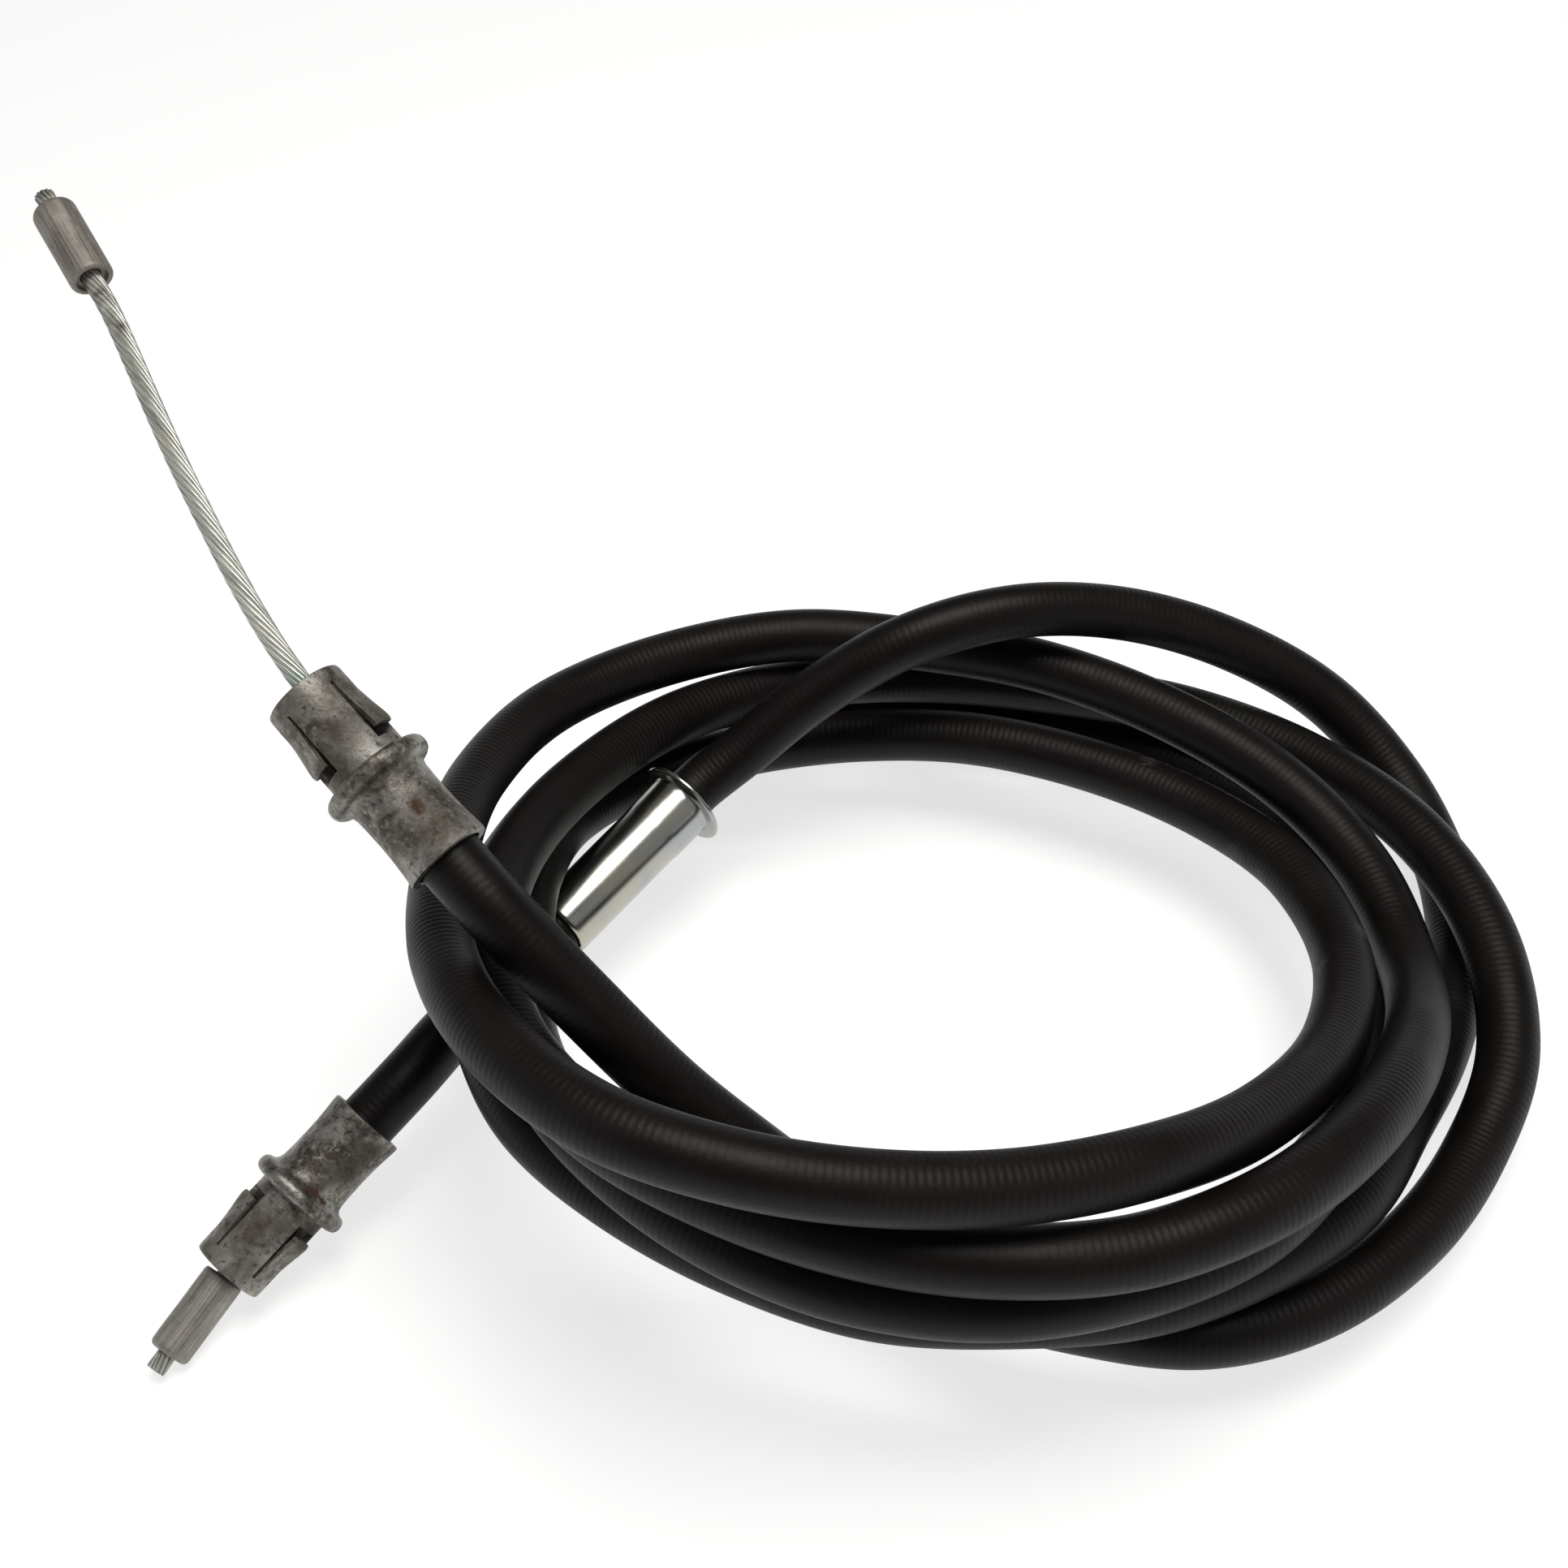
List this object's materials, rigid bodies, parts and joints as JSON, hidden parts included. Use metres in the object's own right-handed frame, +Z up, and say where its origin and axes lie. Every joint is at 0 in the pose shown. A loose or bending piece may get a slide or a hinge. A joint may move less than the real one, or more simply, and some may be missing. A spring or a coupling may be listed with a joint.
{
  "type": "parking brake cable",
  "caption": "Parking brake cable with a black ribbed conduit in a loose coil, steel snap-in end fittings, a plated guide sleeve and a wire rope with crimped ferrules",
  "frame": {"origin": "middle of the footprint, on the ground", "axes": "+Z up from the ground, +Y away from the side where both cable ends stick out, +X to the side away from the cable ends"},
  "size_m": [0.2348, 0.1638, 0.1397],
  "materials": {
    "conduit_cover": "satin, fine ribs",
    "rope_wire": "galvanised strand",
    "fitting_steel": "dull, stained",
    "ferrule_steel": "dull, die marks",
    "sleeve_plating": "bright zinc"
  },
  "bodies": {
    "root": {"conduit": "conduit_cover", "wire_rope": "rope_wire", "upper_end_fitting": "fitting_steel", "lower_end_fitting": "fitting_steel", "upper_ferrule": "ferrule_steel", "lower_ferrule": "ferrule_steel", "guide_sleeve": "sleeve_plating"}
  },
  "joints": []
}
